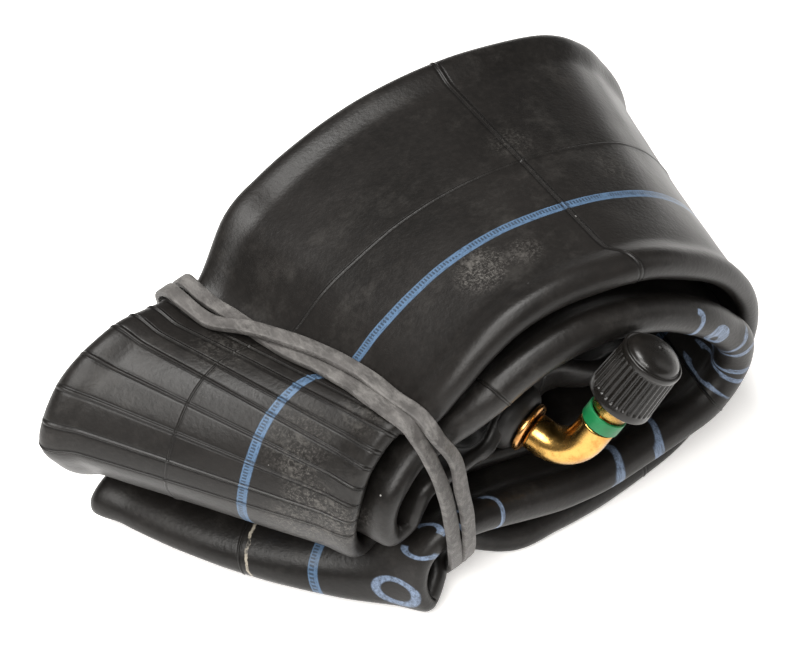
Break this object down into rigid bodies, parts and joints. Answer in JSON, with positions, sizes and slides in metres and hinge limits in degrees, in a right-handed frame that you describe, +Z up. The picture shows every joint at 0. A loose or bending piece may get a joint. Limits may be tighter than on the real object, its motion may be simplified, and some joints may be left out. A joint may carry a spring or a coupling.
{
  "type": "bicycle inner tube",
  "caption": "Small bicycle inner tube, flattened, folded and rolled into a bundle held by a doubled rubber band, with a bent brass valve and screw-on dust cap.",
  "frame": {"origin": "centre of the bounding box's footprint, on the surface the bundle lies on", "axes": "+Z up; the near side, with the valve, faces -Y; the big rolled loop is towards +X and the rubber band towards -X"},
  "size_m": [0.1104, 0.0676, 0.0519],
  "materials": {
    "butyl": "satin black butyl with faint chalky handling marks",
    "patch_rubber": "moulded black rubber, satin",
    "brass": "bright turned brass",
    "washer_metal": "bright, slightly coppery",
    "green_ring": "matt green",
    "cap_plastic": "satin black, moulded",
    "seal_rubber": "matt black",
    "spring_steel": "bright drawn wire",
    "band_rubber": "matt grey-black elastic"
  },
  "bodies": {
    "root": {"tube_body": "butyl", "valve_patch": "patch_rubber", "valve_stem": "brass", "valve_washer": "washer_metal", "colour_ring": "green_ring", "core_barrel": "brass", "core_seal": "seal_rubber", "core_spring": "spring_steel", "rubber_band": "band_rubber"},
    "cap_thread": {"cap_gasket": "seal_rubber"},
    "cap": {"valve_cap": "cap_plastic"},
    "plunger": {"core_pin": "spring_steel", "core_cup": "seal_rubber"}
  },
  "joints": [
    {"name": "cap_lift", "type": "slide", "parent": "root", "child": "cap_thread", "axis": [0.5179, -0.177, 0.8369], "range_m": [0, 0.0063]},
    {"name": "cap_turn", "type": "hinge", "parent": "cap_thread", "child": "cap", "pos_m": [0.00793, -0.02537, 0.02241], "axis": [0.5179, -0.177, 0.8369], "range_deg": [0, 2880]},
    {"name": "pin_press", "type": "slide", "parent": "root", "child": "plunger", "axis": [-0.5179, 0.177, -0.8369], "range_m": [0, 0.0015], "stiffness_N_per_m": 800, "springref_m": -0.003, "deforming": ["core_spring"]}
  ],
  "couplings": [
    {"joint": "cap_turn", "follows": "cap_lift", "rad_per_m": 7913.3}
  ]
}
